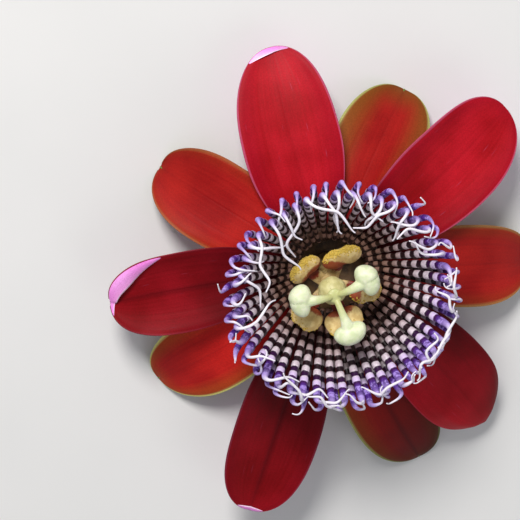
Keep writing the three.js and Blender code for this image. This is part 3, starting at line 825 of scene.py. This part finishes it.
def filament_line(index, row):
    """Centre line of a filament, with the distance travelled and the radius at each point."""
    spec = FILAMENT_ROWS[row]
    azimuth = (index + 0.5 * row) * 360 / FILAMENTS_IN_A_ROW + 2.2 * (chance(index, row, "place") - 0.5)
    hook_start = spec["hook"] + 2 * (chance(index, row, "hook") - 0.5)
    hook_end = hook_start + HOOK_LENGTH
    inward = towards(azimuth, DROOP_AZIMUTH)
    turn = hook_turn(inward, index, row)
    spread = 1.6 * smooth_step(0.15, 1.0, chance(index, row, "thread"))
    thread = (THREAD_LENGTH + 4 * inward ** 3) * spread * (1 - 0.6 * row) if turn > 45 else 0.0
    length = hook_start + HOOK_LENGTH + thread
    lean = hook_lean(inward, index, row)
    sway = 20 + 50 * (1 - 0.6 * inward) * chance(index, row, "sway")
    wave_length = WAVE_LENGTH * (1 + 0.8 * inward + chance(index, row, "wave"))
    phase = 2 * math.pi * chance(index, row, "phase")
    steps = int(round(length / FILAMENT_STEP))
    step = length / steps
    travelled = (np.arange(steps) + 0.5) * step
    rim_slope = RIM_SLOPE - 7 * towards(azimuth, OPEN_AZIMUTH)
    flare = (rim_slope - FILAMENT_SLOPE) * smooth_step(*FLARE, travelled)
    hooked = smooth_step(hook_start, hook_end, travelled)
    slope = np.radians(FILAMENT_SLOPE + spec["slope"] + flare + turn * hooked)
    wave = np.tanh(2 * np.sin(phase + 2 * np.pi * travelled / wave_length))
    heading = np.radians(lean * hooked + sway * wave * smooth_step(hook_start - 2, length, travelled))
    moves = step * np.stack(
        [np.cos(heading) * np.cos(slope), np.sin(heading), np.cos(heading) * np.sin(slope)], axis=-1)
    foot = np.array([spec["foot"], 0, CORONA_SEAT + spec["lift"]])
    points = np.concatenate([foot[None], foot + np.cumsum(moves, axis=0)])
    distance = np.arange(steps + 1) * step
    if row == 0:
        points, distance = with_foot(points, distance)
    a = math.radians(azimuth)
    spin = np.array([[math.cos(a), -math.sin(a), 0], [math.sin(a), math.cos(a), 0], [0, 0, 1]])
    swell = 0.55 + 0.45 * smooth_step(0, 20, distance)
    thin = 1 - 0.63 * smooth_step(hook_start - 0.5, hook_start + 5, distance)
    fade = 1 - 0.5 * smooth_step(length - 5, length, distance)
    return points @ spin.T, distance, spec["thickness"] / 2 * swell * thin * fade, azimuth


def with_foot(points, distance):
    """A front filament's foot lies over the ring's inner edge, as a ridge of the ring."""
    kept = distance > 2.4
    ridge = np.array([[9.3, 0, 0.5], [9.4, 0, 0.9], [9.7, 0, 1.2], [10.2, 0, 1.4], [10.8, 0, 1.65],
                      [11.4, 0, 2.0]]) + UP * CORONA_SEAT
    travelled = np.array([-1.4, -1.0, -0.6, 0.2, 1.0, 1.8])
    return np.concatenate([ridge, points[kept]]), np.concatenate([travelled, distance[kept]])


def bead(distance, last_band):
    """A filament is a little thicker at each pale band."""
    turn = np.mod((distance - last_band) / BAND_PERIOD, 1.0)
    rise = smooth_step(BAND_DARK_SHARE - 0.08, BAND_DARK_SHARE + 0.12, turn)
    return 0.96 + 0.14 * rise * (1 - smooth_step(0.88, 1.0, turn)) * (distance < last_band)


def make_filament_row(row, spec):
    vertices, faces, travelled, seeds = [], [], [], []
    start = 0
    for index in range(FILAMENTS_IN_A_ROW):
        points, distance, radius, azimuth = filament_line(index, row)
        seed = chance(index, row, "seed")
        radius = radius * bead(distance, spec["last_band"] + BAND_SHIFT * (seed - 0.5))
        part, part_faces = tube_parts(points, radius, FILAMENT_SIDES, sideways(azimuth), start=start)
        vertices.append(part)
        faces += part_faces
        travelled.append(np.repeat(distance, FILAMENT_SIDES))
        seeds.append(np.full(len(part), seed))
        start += len(part)
    obj = mesh_from(f"corona_{spec['side']}_filaments", placed(np.concatenate(vertices)), faces)
    set_attribute(obj, "travelled", np.concatenate(travelled))
    set_attribute(obj, "seed", np.concatenate(seeds))
    keep_piece(obj, "corona_banded", "corona", filament_material(spec))


def turned(name, outline, segments):
    """A solid turned about the flower's axis from an outline of (radius, height) points."""
    points = [(radius, 0.0, height) for radius, height in outline]
    obj = mesh_from(name, placed(points) - AXIS, [])
    mesh = obj.data
    mesh.edges.add(len(points) - 1)
    for i, edge in enumerate(mesh.edges):
        edge.vertices = (i, i + 1)
    apply_modifier(obj, "SCREW", steps=segments, render_steps=segments, use_merge_vertices=True,
                   merge_threshold=MERGE_DISTANCE)
    obj.data.transform(Matrix.Translation(Vector(AXIS)))
    face_outward(obj, merge=MERGE_DISTANCE)
    return obj


def make_corona_ring():
    base = CORONA_SEAT
    obj = turned("corona_ring", [
        (9.4, base + 0.4), (9.9, base), (12.7, base), (13.2, base + 0.5), (13.2, base + 1.1),
        (12.0, base + 1.6), (10.7, base + 1.5), (9.7, base + 1.3), (9.4, base + 1.0), (9.4, base + 0.4),
    ], 184)
    keep_piece(obj, "corona_banded", "corona", ring_material())


for row_number, row_spec in enumerate(FILAMENT_ROWS):
    make_filament_row(row_number, row_spec)
make_corona_ring()


# Cup, stalk and bracts


def green_material(name, deep, bright, blush, blush_share, roughness):
    material, tree, shader = new_material(name, roughness=roughness)
    clouds = noise(object_place(tree), 260, 3.0, 0.55)
    speckle = noise(object_place(tree), 2340, 2.0, 0.6)
    colour = mix(ease(clouds, 0.35, 0.65), deep, bright)
    colour = mix(ease(speckle, 0.5, 0.75) * blush_share, colour, blush)
    wire_surface(shader, colour, clouds + speckle * 0.3, 0.0002)
    return material


CUP_OUTSIDE = green_material(
    "cup_green", srgb(92, 120, 52), srgb(140, 160, 84), srgb(150, 60, 52), 0.35, 0.5)
CUP_INSIDE = green_material(
    "cup_throat", srgb(60, 40, 22), srgb(110, 80, 48), srgb(120, 100, 60), 0.4, 0.6)
STALK_GREEN = green_material(
    "stalk_green", srgb(84, 112, 48), srgb(120, 146, 70), srgb(160, 170, 100), 0.3, 0.5)


def make_cup():
    rim, foot, top = CUP_RIM_RADIUS, CUP_FOOT_HEIGHT, CUP_RIM_HEIGHT
    obj = turned("calyx_cup", [
        (0, foot), (3.2, foot), (5.5, foot + 0.4), (7.4, foot + 1), (9.2, foot + 2), (10.6, foot + 3.4),
        (11.8, foot + 4.9), (12.6, foot + 6.6), (12.9, foot + 8), (rim, top - 0.5), (rim - 0.4, top),
        (rim - CUP_WALL, top), (12.6 - CUP_WALL, foot + 6.8), (10.6 - CUP_WALL, foot + 4.1),
        (6.8, foot + 2.2), (3.4, foot + 1.75), (0, foot + 1.6),
    ], 72)
    paint(obj, CUP_OUTSIDE, CUP_INSIDE)
    for face in obj.data.polygons:
        away = Vector((face.center.x - AXIS[0], face.center.y - AXIS[1], 0))
        inside = face.normal.dot(away) < -0.05 * away.length or face.normal.z > 0.9
        face.material_index = 1 if inside and face.center.z > (foot + 1.2) * MM else 0
    keep_piece(obj, "leaf_green", "calyx_cup")


def make_peduncle():
    radius, foot = PEDUNCLE["radius"], PEDUNCLE["foot"]
    top = CUP_FOOT_HEIGHT - SEAT_GAP
    obj = turned("peduncle", [
        (0, foot), (radius * 0.9, foot), (radius, foot + 0.25), (radius * 0.98, foot + 2),
        (radius * 0.98, top - 2.4), (radius, top - 1.2), (radius * 1.15, top - 0.5),
        (radius * 1.3, top), (0, top),
    ], 40)
    keep_piece(obj, "leaf_green", "peduncle", STALK_GREEN)


BRACT_UPPER = blade_material(
    "bract_green", srgb(74, 108, 40), srgb(118, 150, 66), srgb(150, 80, 60), srgb(120, 130, 60),
    srgb(120, 150, 80), vein=0.5, margin_width=0.05, halo_share=0.3, specular_ior_level=0.35)


def make_bract(number, azimuth):
    name = f"bract_{number}"
    obj, x, y = new_grid(name, 16, 26)
    s, w = (y + 1) / 2, -x
    start = PEDUNCLE["radius"] + SEAT_GAP
    outline = (0.24 + 0.76 * np.sin(np.pi * s ** 0.8)) * (1 - s ** 5)
    half = BRACT["width"] / 2 * np.maximum(0.06, outline)
    height = BRACT["foot"] + (BRACT["tip"] - BRACT["foot"]) * s ** 1.5
    height = height + 0.9 * w * w * np.sin(np.pi * s) - BRACT["thickness"] / 2
    points = outward(azimuth) * (start + (BRACT["length"] - start) * s)[:, None]
    points = points + sideways(azimuth) * (half * w)[:, None] + UP * height[:, None]
    put_vertices(obj, points)
    put_uv(obj, (w + 1) / 2, s)
    apply_modifier(obj, "SOLIDIFY", thickness=0.7 * MM, offset=0)
    set_attribute(obj, "paleness", 1.0)
    keep_piece(obj, "leaf_green", name, BRACT_UPPER)


make_cup()
make_peduncle()
for bract_number, bract_azimuth in enumerate(BRACT_AZIMUTHS, 1):
    make_bract(bract_number, bract_azimuth)


# Centre: column with stamen arms, anthers, ovary and styles


def fleshy_group():
    """A soft mottled skin between two colours, with blotches of a third."""
    tree, given, made = new_group("fleshy_skin", {
        "Light": None, "Shade": None, "Blotch": None, "Blotch Mask": 0.0, "Scale": 600.0},
        ("Color", "Height"))
    clouds = noise(object_place(tree), given["Scale"], 3.0, 0.55)
    grain = noise(object_place(tree), 4200, 2.0, 0.6)
    colour = mix(ease(clouds, 0.35, 0.68), given["Shade"], given["Light"])
    blotches = ease(given["Blotch Mask"] + (grain - 0.5) * 1.4, 0.35, 0.65)
    connect(mix(blotches, colour, given["Blotch"]), made["Color"])
    connect(clouds + grain * 0.25, made["Height"])
    return tree


FLESH = fleshy_group()


def fleshy_material(name, light, shade, blotch, mask=None, tint=None, scale=600.0, **constants):
    """The attribute named by mask says where it is blotched; tint, where it has one, follows "tint"."""
    material, tree, shader = new_material(name, **constants)
    inputs = {"Light": light, "Shade": shade, "Blotch": blotch, "Scale": scale}
    if mask:
        inputs["Blotch Mask"] = attribute(tree, mask)
    skin = all_outputs(add(tree, "ShaderNodeGroup", inputs, node_tree=FLESH))
    colour = mix(attribute(tree, "tint"), skin["Color"], tint) if tint else skin["Color"]
    wire_surface(shader, colour, skin["Height"], FLESH_BUMP)
    return material


def anther_material():
    """Cream tan with pollen on the outer edge and a red-brown stain towards the column."""
    material, tree, shader = new_material("anther_skin", roughness=0.6)
    skin = all_outputs(add(tree, "ShaderNodeGroup", node_tree=FLESH, inputs={
        "Light": srgb(238, 212, 146), "Shade": srgb(210, 178, 112), "Blotch": srgb(214, 184, 80),
        "Blotch Mask": attribute(tree, "pollen")}))
    ragged = attribute(tree, "stain") + (noise(object_place(tree), 1400) - 0.5) * 0.9
    colour = mix(ease(ragged, 0.2, 0.75, 0.0, 0.95), skin["Color"], srgb(146, 50, 16))
    wire_surface(shader, colour, skin["Height"], FLESH_BUMP)
    return material


COLUMN_SKIN = fleshy_material(
    "stamen_column_skin", srgb(206, 178, 120), srgb(150, 122, 70), srgb(126, 34, 8), "blotch",
    roughness=0.5)
ANTHER_SKIN = anther_material()
POLLEN_GRAIN = fleshy_material(
    "pollen_grain", srgb(224, 194, 86), srgb(202, 166, 64), srgb(224, 194, 86), scale=2500.0,
    roughness=0.8)
# The blotch colour here is painted shade, laid in the ovary's grooves and on its underside.
OVARY_SKIN = fleshy_material(
    "ovary_skin", srgb(224, 216, 156), srgb(202, 194, 130), srgb(156, 148, 82), "crease",
    roughness=0.45)
# The blotch colour here is painted shade, low on the styles near the hub and along the stigmas' creases.
STYLE_SKIN = fleshy_material(
    "stigma_skin", srgb(242, 246, 212), srgb(220, 230, 184), srgb(176, 190, 134), "crease",
    srgb(196, 196, 124), roughness=0.4, subsurface_weight=0.15, subsurface_radius=(0.6, 0.8, 0.4),
    subsurface_scale=0.001)


def remeshed(obj, voxel, smoothing):
    apply_modifier(obj, "REMESH", mode="VOXEL", voxel_size=voxel * MM)
    apply_modifier(obj, "SMOOTH", factor=0.5, iterations=smoothing)


def make_arm(stamen):
    t = np.linspace(0, 1, 12)
    centres = outward(stamen["azimuth"]) * ((stamen["reach"] - ARM["short_by"]) * t)[:, None]
    centres = centres + UP * (ARM["root"] + (ARM["end"] - ARM["root"]) * t ** 0.7)[:, None] + LEAN
    radii = ARM["width"] / 2 * (0.8 + 0.2 * t - 0.25 * t ** 4)
    return tube("arm", centres, radii, 16, sideways(stamen["azimuth"]), ARM["thickness"] / ARM["width"])


def make_column():
    radius, foot, top = COLUMN["radius"], COLUMN["foot"], COLUMN["top"]
    column = turned("column", [
        (0, foot), (radius * 1.5, foot), (radius * 1.1, foot + 1.6), (radius, foot + 8),
        (radius, top - 5), (radius * 1.3, top - 2.4), (radius * 1.5, top - 1.4), (radius * 1.4, top),
        (0, top),
    ], 32)
    for vertex in column.data.vertices:
        vertex.co.x += COLUMN["lean"] * MM * (vertex.co.z / MM - foot) / (top - foot)
    whole = join([column] + [make_arm(stamen) for stamen in STAMENS], "androgynophore")
    remeshed(whole, 0.22, 3)
    places = about_axis(whole)
    blotch = np.zeros(len(places))
    for stamen in STAMENS:
        spot = outward(stamen["azimuth"]) * 6.0 + LEAN
        away = np.linalg.norm(places[:, :2] - spot[:2], axis=1)
        blotch = np.maximum(blotch, (1 - smooth_step(1.0, 3.2, away)) * (places[:, 2] > 27.5))
    set_attribute(whole, "blotch", blotch)
    keep_piece(whole, "stamen_column", "androgynophore", COLUMN_SKIN)


def anther_point(stamen, along, across, above):
    """A point of the anther: along its length, across its width and above its middle."""
    width = stamen["width"]
    rise = math.radians(ANTHER["tilt"])
    height = ANTHER["height"] - ANTHER["sink"] * (ANTHER["full_width"] - width)
    centre = outward(stamen["azimuth"]) * stamen["reach"] + UP * height + LEAN
    facing = stamen["azimuth"] + stamen["turn"]
    outer = outward(facing) * math.cos(rise) + UP * math.sin(rise)
    over = UP * math.cos(rise) - outward(facing) * math.sin(rise)
    parting = np.exp(-((along / 0.2) ** 2))
    furrow = 1 - 0.4 * parting * (above > 0)
    across = across * (1 - 0.16 * parting)
    length = stamen["length"] / 2 * np.sign(along) * np.abs(along) ** 0.85
    point = centre + sideways(facing) * length[:, None]
    point = point + outer * (width / 2 * across - 0.8 * along * along)[:, None]
    return point + over * (ANTHER["thickness"] / 2 * above * furrow - 0.4 * along * along)[:, None]


def make_anther(number, stamen):
    name = f"anther_{number}"
    body, across, above, along = new_ball(name, 48, 28)
    points = anther_point(stamen, along, across, above)
    put_vertices(body, points)
    pollen = smooth_step(0.35, 0.8, across) * smooth_step(-0.4, 0.1, above)
    set_attribute(body, "pollen", pollen * 0.8 * stamen["pollen"])
    from_column = np.hypot(points[:, 0] - COLUMN["lean"], points[:, 1])
    set_attribute(body, "stain", 1 - smooth_step(6.2, 8.4, from_column))
    paint(body, ANTHER_SKIN)
    face_outward(body)
    keep_piece(join([body, make_grains(number, stamen)], name), "pollen", name)


def make_grains(number, stamen):
    """Pollen clinging to the outer and upper edge of an anther, as one mesh of small round grains."""
    rng = random.Random(40 + number)
    spots = []
    while len(spots) < POLLEN["grains"] * stamen["pollen"]:
        along = rng.uniform(-0.95, 0.95)
        angle = rng.gauss(0.35, 0.42)
        ring = math.sqrt(1 - along * along)
        spots.append((along, ring * math.cos(angle), ring * math.sin(angle), rng.uniform(*POLLEN["radius"])))
    spots = np.array(spots)
    made = bmesh.new()
    for centre, radius in zip(anther_point(stamen, *spots[:, :3].T), spots[:, 3]):
        bmesh.ops.create_icosphere(made, subdivisions=1, radius=radius * MM,
                                   matrix=Matrix.Translation(Vector(placed(centre))))
    grains = mesh_from("grains", [], [])
    made.to_mesh(grains.data)
    made.free()
    paint(grains, POLLEN_GRAIN)
    return grains


def make_ovary():
    obj, x, y, z = new_ball("ovary", 72, 36)
    turn = np.arctan2(y, x)
    groove = np.exp(-((np.mod(turn * 3 / np.pi + 0.5, 1) - 0.5) / 0.16) ** 2)
    ridge = 1 - 0.045 * groove * np.sqrt(1 - z * z)
    middle = OVARY["foot"] + (OVARY["top"] - OVARY["foot"]) * 0.45
    rise = np.where(z > 0, OVARY["top"] - middle, middle - OVARY["foot"])
    radius = OVARY["radius"] * ridge * np.where(z > 0, 1.0, 1.0 - 0.12 * z * z)
    put_vertices(obj, np.stack([radius * x, radius * y, middle + rise * z], axis=-1) + LEAN)
    # Painted shade in the grooves between the ribs and on the lower half.
    set_attribute(obj, "crease", groove * 0.35 + smooth_step(0.1, -0.8, z) * 0.5)
    face_outward(obj)
    keep_piece(obj, "ovary_green", "ovary", OVARY_SKIN)


def make_stigma(centre, style):
    """A kidney shape, wider across than along, its two unequal lobes parted by a shallow crease."""
    obj, along, across, over = new_ball("stigma", 40, 28)
    big = 0.97 + 0.07 * style["parting"] * np.tanh(6 * across * style["larger"])
    crease = 1 - 0.06 * style["parting"] * np.exp(-((across / 0.1) ** 2)) * (along > -0.3)
    square = np.sign(across) * np.abs(across) ** 0.9
    forward = STIGMA["along"] / 2 * along * crease * big - 0.6 * across * across
    points = centre + sideways(style["azimuth"]) * (STIGMA["across"] / 2 * square)[:, None]
    points = points + outward(style["azimuth"]) * forward[:, None]
    put_vertices(obj, points + UP * (STIGMA["thick"] / 2 * over * crease * big)[:, None])
    return obj


def make_style(style):
    """A style arches out from the hub on the ovary and ends in a stigma; one runs smoothly into it."""
    azimuth, reach, parting = style["azimuth"], style["reach"], style["parting"]
    start = STYLE["foot"] + STYLE["foot_width"]
    t = np.linspace(0, 1, 24)
    height = start + (STIGMA["height"] - start) * t + STYLE["arch"] * np.sin(np.pi * t)
    centres = outward(azimuth) * (0.3 + (reach - 0.3) * t)[:, None] + LEAN + UP * height[:, None]
    end_width = STYLE["end_width"] + 1.1 * (1 - parting)
    radii = STYLE["foot_width"] + (end_width - STYLE["foot_width"]) * t ** (1.9 + 1.4 * (1 - parting))
    radii = radii * (0.6 + 0.4 * smooth_step(0, 0.16, t))
    stem = tube("style", centres, radii, 18, sideways(azimuth), 0.8 + 0.2 * parting)
    return [stem, make_stigma(centres[-1], style)]


def make_hub():
    """The low cushion on the ovary where the three styles meet."""
    obj, x, y, z = new_ball("hub", 32, 20)
    size = np.array([STYLE["hub"], STYLE["hub"], STYLE["foot_width"]])
    centre = LEAN + UP * (STYLE["foot"] + STYLE["foot_width"])
    put_vertices(obj, centre + np.stack([x, y, z], axis=-1) * size)
    return obj


def make_styles():
    parts = [make_hub()]
    for style in STYLES:
        parts += make_style(style)
    whole = join(parts, "styles")
    remeshed(whole, 0.17, 4)
    places = about_axis(whole)
    # Painted shade: darker low down towards the hub and along each stigma's middle crease.
    crease = 0.7 * smooth_step(39.0, 37.2, places[:, 2])
    for style in STYLES:
        away = places - outward(style["azimuth"]) * style["reach"] - LEAN
        across = away @ sideways(style["azimuth"])
        ahead = away @ outward(style["azimuth"])
        near = (np.abs(across) < 4) & (np.abs(ahead) < 4)
        furrow = np.exp(-((across / 0.35) ** 2)) * smooth_step(-1.5, 0.5, ahead)
        crease = np.maximum(crease, near * furrow * 0.5 * style["parting"])
    set_attribute(whole, "crease", crease)
    from_hub = np.hypot(places[:, 0] - COLUMN["lean"], places[:, 1])
    set_attribute(whole, "tint", 0.85 - 0.85 * smooth_step(1.5, 7.0, from_hub))
    keep_piece(whole, "stigma_cream", "styles", STYLE_SKIN)


make_column()
for stamen_number, stamen_spec in enumerate(STAMENS, 1):
    make_anther(stamen_number, stamen_spec)
make_ovary()
make_styles()


# Table and light


def make_table():
    bpy.ops.mesh.primitive_plane_add(size=4)
    table = bpy.context.object
    table.name = "table"
    material, tree, shader = new_material("table_pale", roughness=0.9, specular_ior_level=0.1)
    mottle = noise(object_place(tree), 30)
    connect(mix(mottle, srgb(226, 226, 224), srgb(232, 231, 229)), shader.inputs["Base Color"])
    paint(table, material)


def make_area_light(name, at, size, power, colour=(1, 1, 1)):
    data = bpy.data.lights.new(name, "AREA")
    data.shape = "DISK"
    data.size = size
    data.energy = power
    data.color = colour
    lamp = bpy.data.objects.new(name, data)
    lamp.location = at
    aim = Vector(placed((0, 0, 20))) - Vector(at)
    lamp.rotation_euler = aim.to_track_quat("-Z", "Y").to_euler()
    bpy.context.scene.collection.objects.link(lamp)


def make_world():
    world = bpy.data.worlds.new("room")
    bpy.context.scene.world = world
    world.use_nodes = True
    background = world.node_tree.nodes["Background"]
    background.inputs["Color"].default_value = (0.93, 0.95, 1.0, 1.0)
    background.inputs["Strength"].default_value = 0.34


make_table()
make_area_light("key_light", (-0.24, 0.62, 0.68), 0.3, 8.0, (1.0, 0.98, 0.96))
make_area_light("fill_light", (0.45, -0.4, 0.7), 0.6, 0.8, (0.95, 0.97, 1.0))
make_world()
